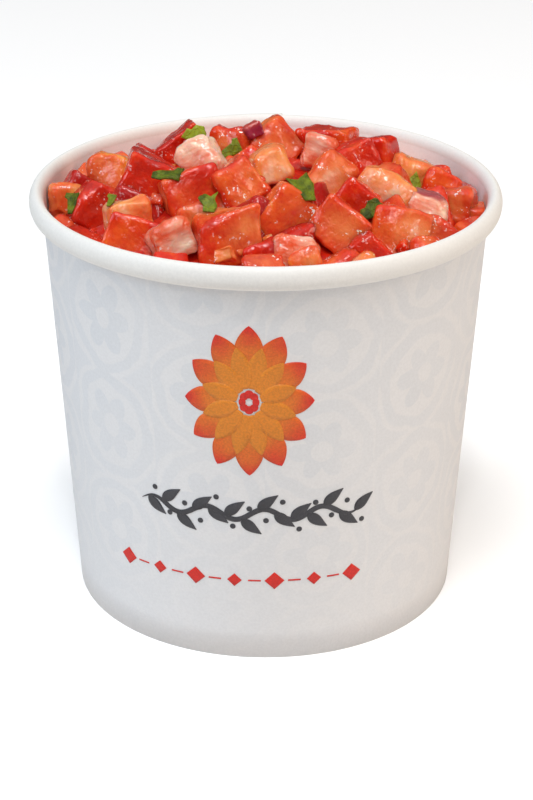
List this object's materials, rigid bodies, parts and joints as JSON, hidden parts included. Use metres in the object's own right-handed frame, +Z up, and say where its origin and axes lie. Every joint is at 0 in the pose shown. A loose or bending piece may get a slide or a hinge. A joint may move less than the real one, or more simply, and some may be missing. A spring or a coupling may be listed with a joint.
{
  "type": "cup of fresh tomato salsa",
  "caption": "Coarse-cut fresh tomato salsa with onion and coriander, heaped above the rolled lip of a plain-shaped paper food cup.",
  "frame": {"origin": "centre of the cup's foot, on the surface that it stands on", "axes": "+Z up along the cup's axis; the printed side of the cup faces -Y"},
  "size_m": [0.092, 0.092, 0.0935],
  "materials": {
    "cup_board": "coated white food board, printed outside with a pale grey ground",
    "cup_base_board": "coated white food board, bare",
    "salsa": "wet, glossy and translucent dice of tomato and onion in their juice",
    "tomato": "wet cut tomato, red to orange",
    "onion": "wet, translucent onion tinted pink by the juice",
    "red_onion": "purple outer layer of red onion",
    "coriander": "wet chopped leaf",
    "print_warm": "orange and red ink on the board",
    "print_dark": "dark grey ink on the board"
  },
  "bodies": {
    "root": {"cup_sidewall": "cup_board", "cup_base": "cup_base_board", "salsa": "salsa"}
  },
  "joints": []
}
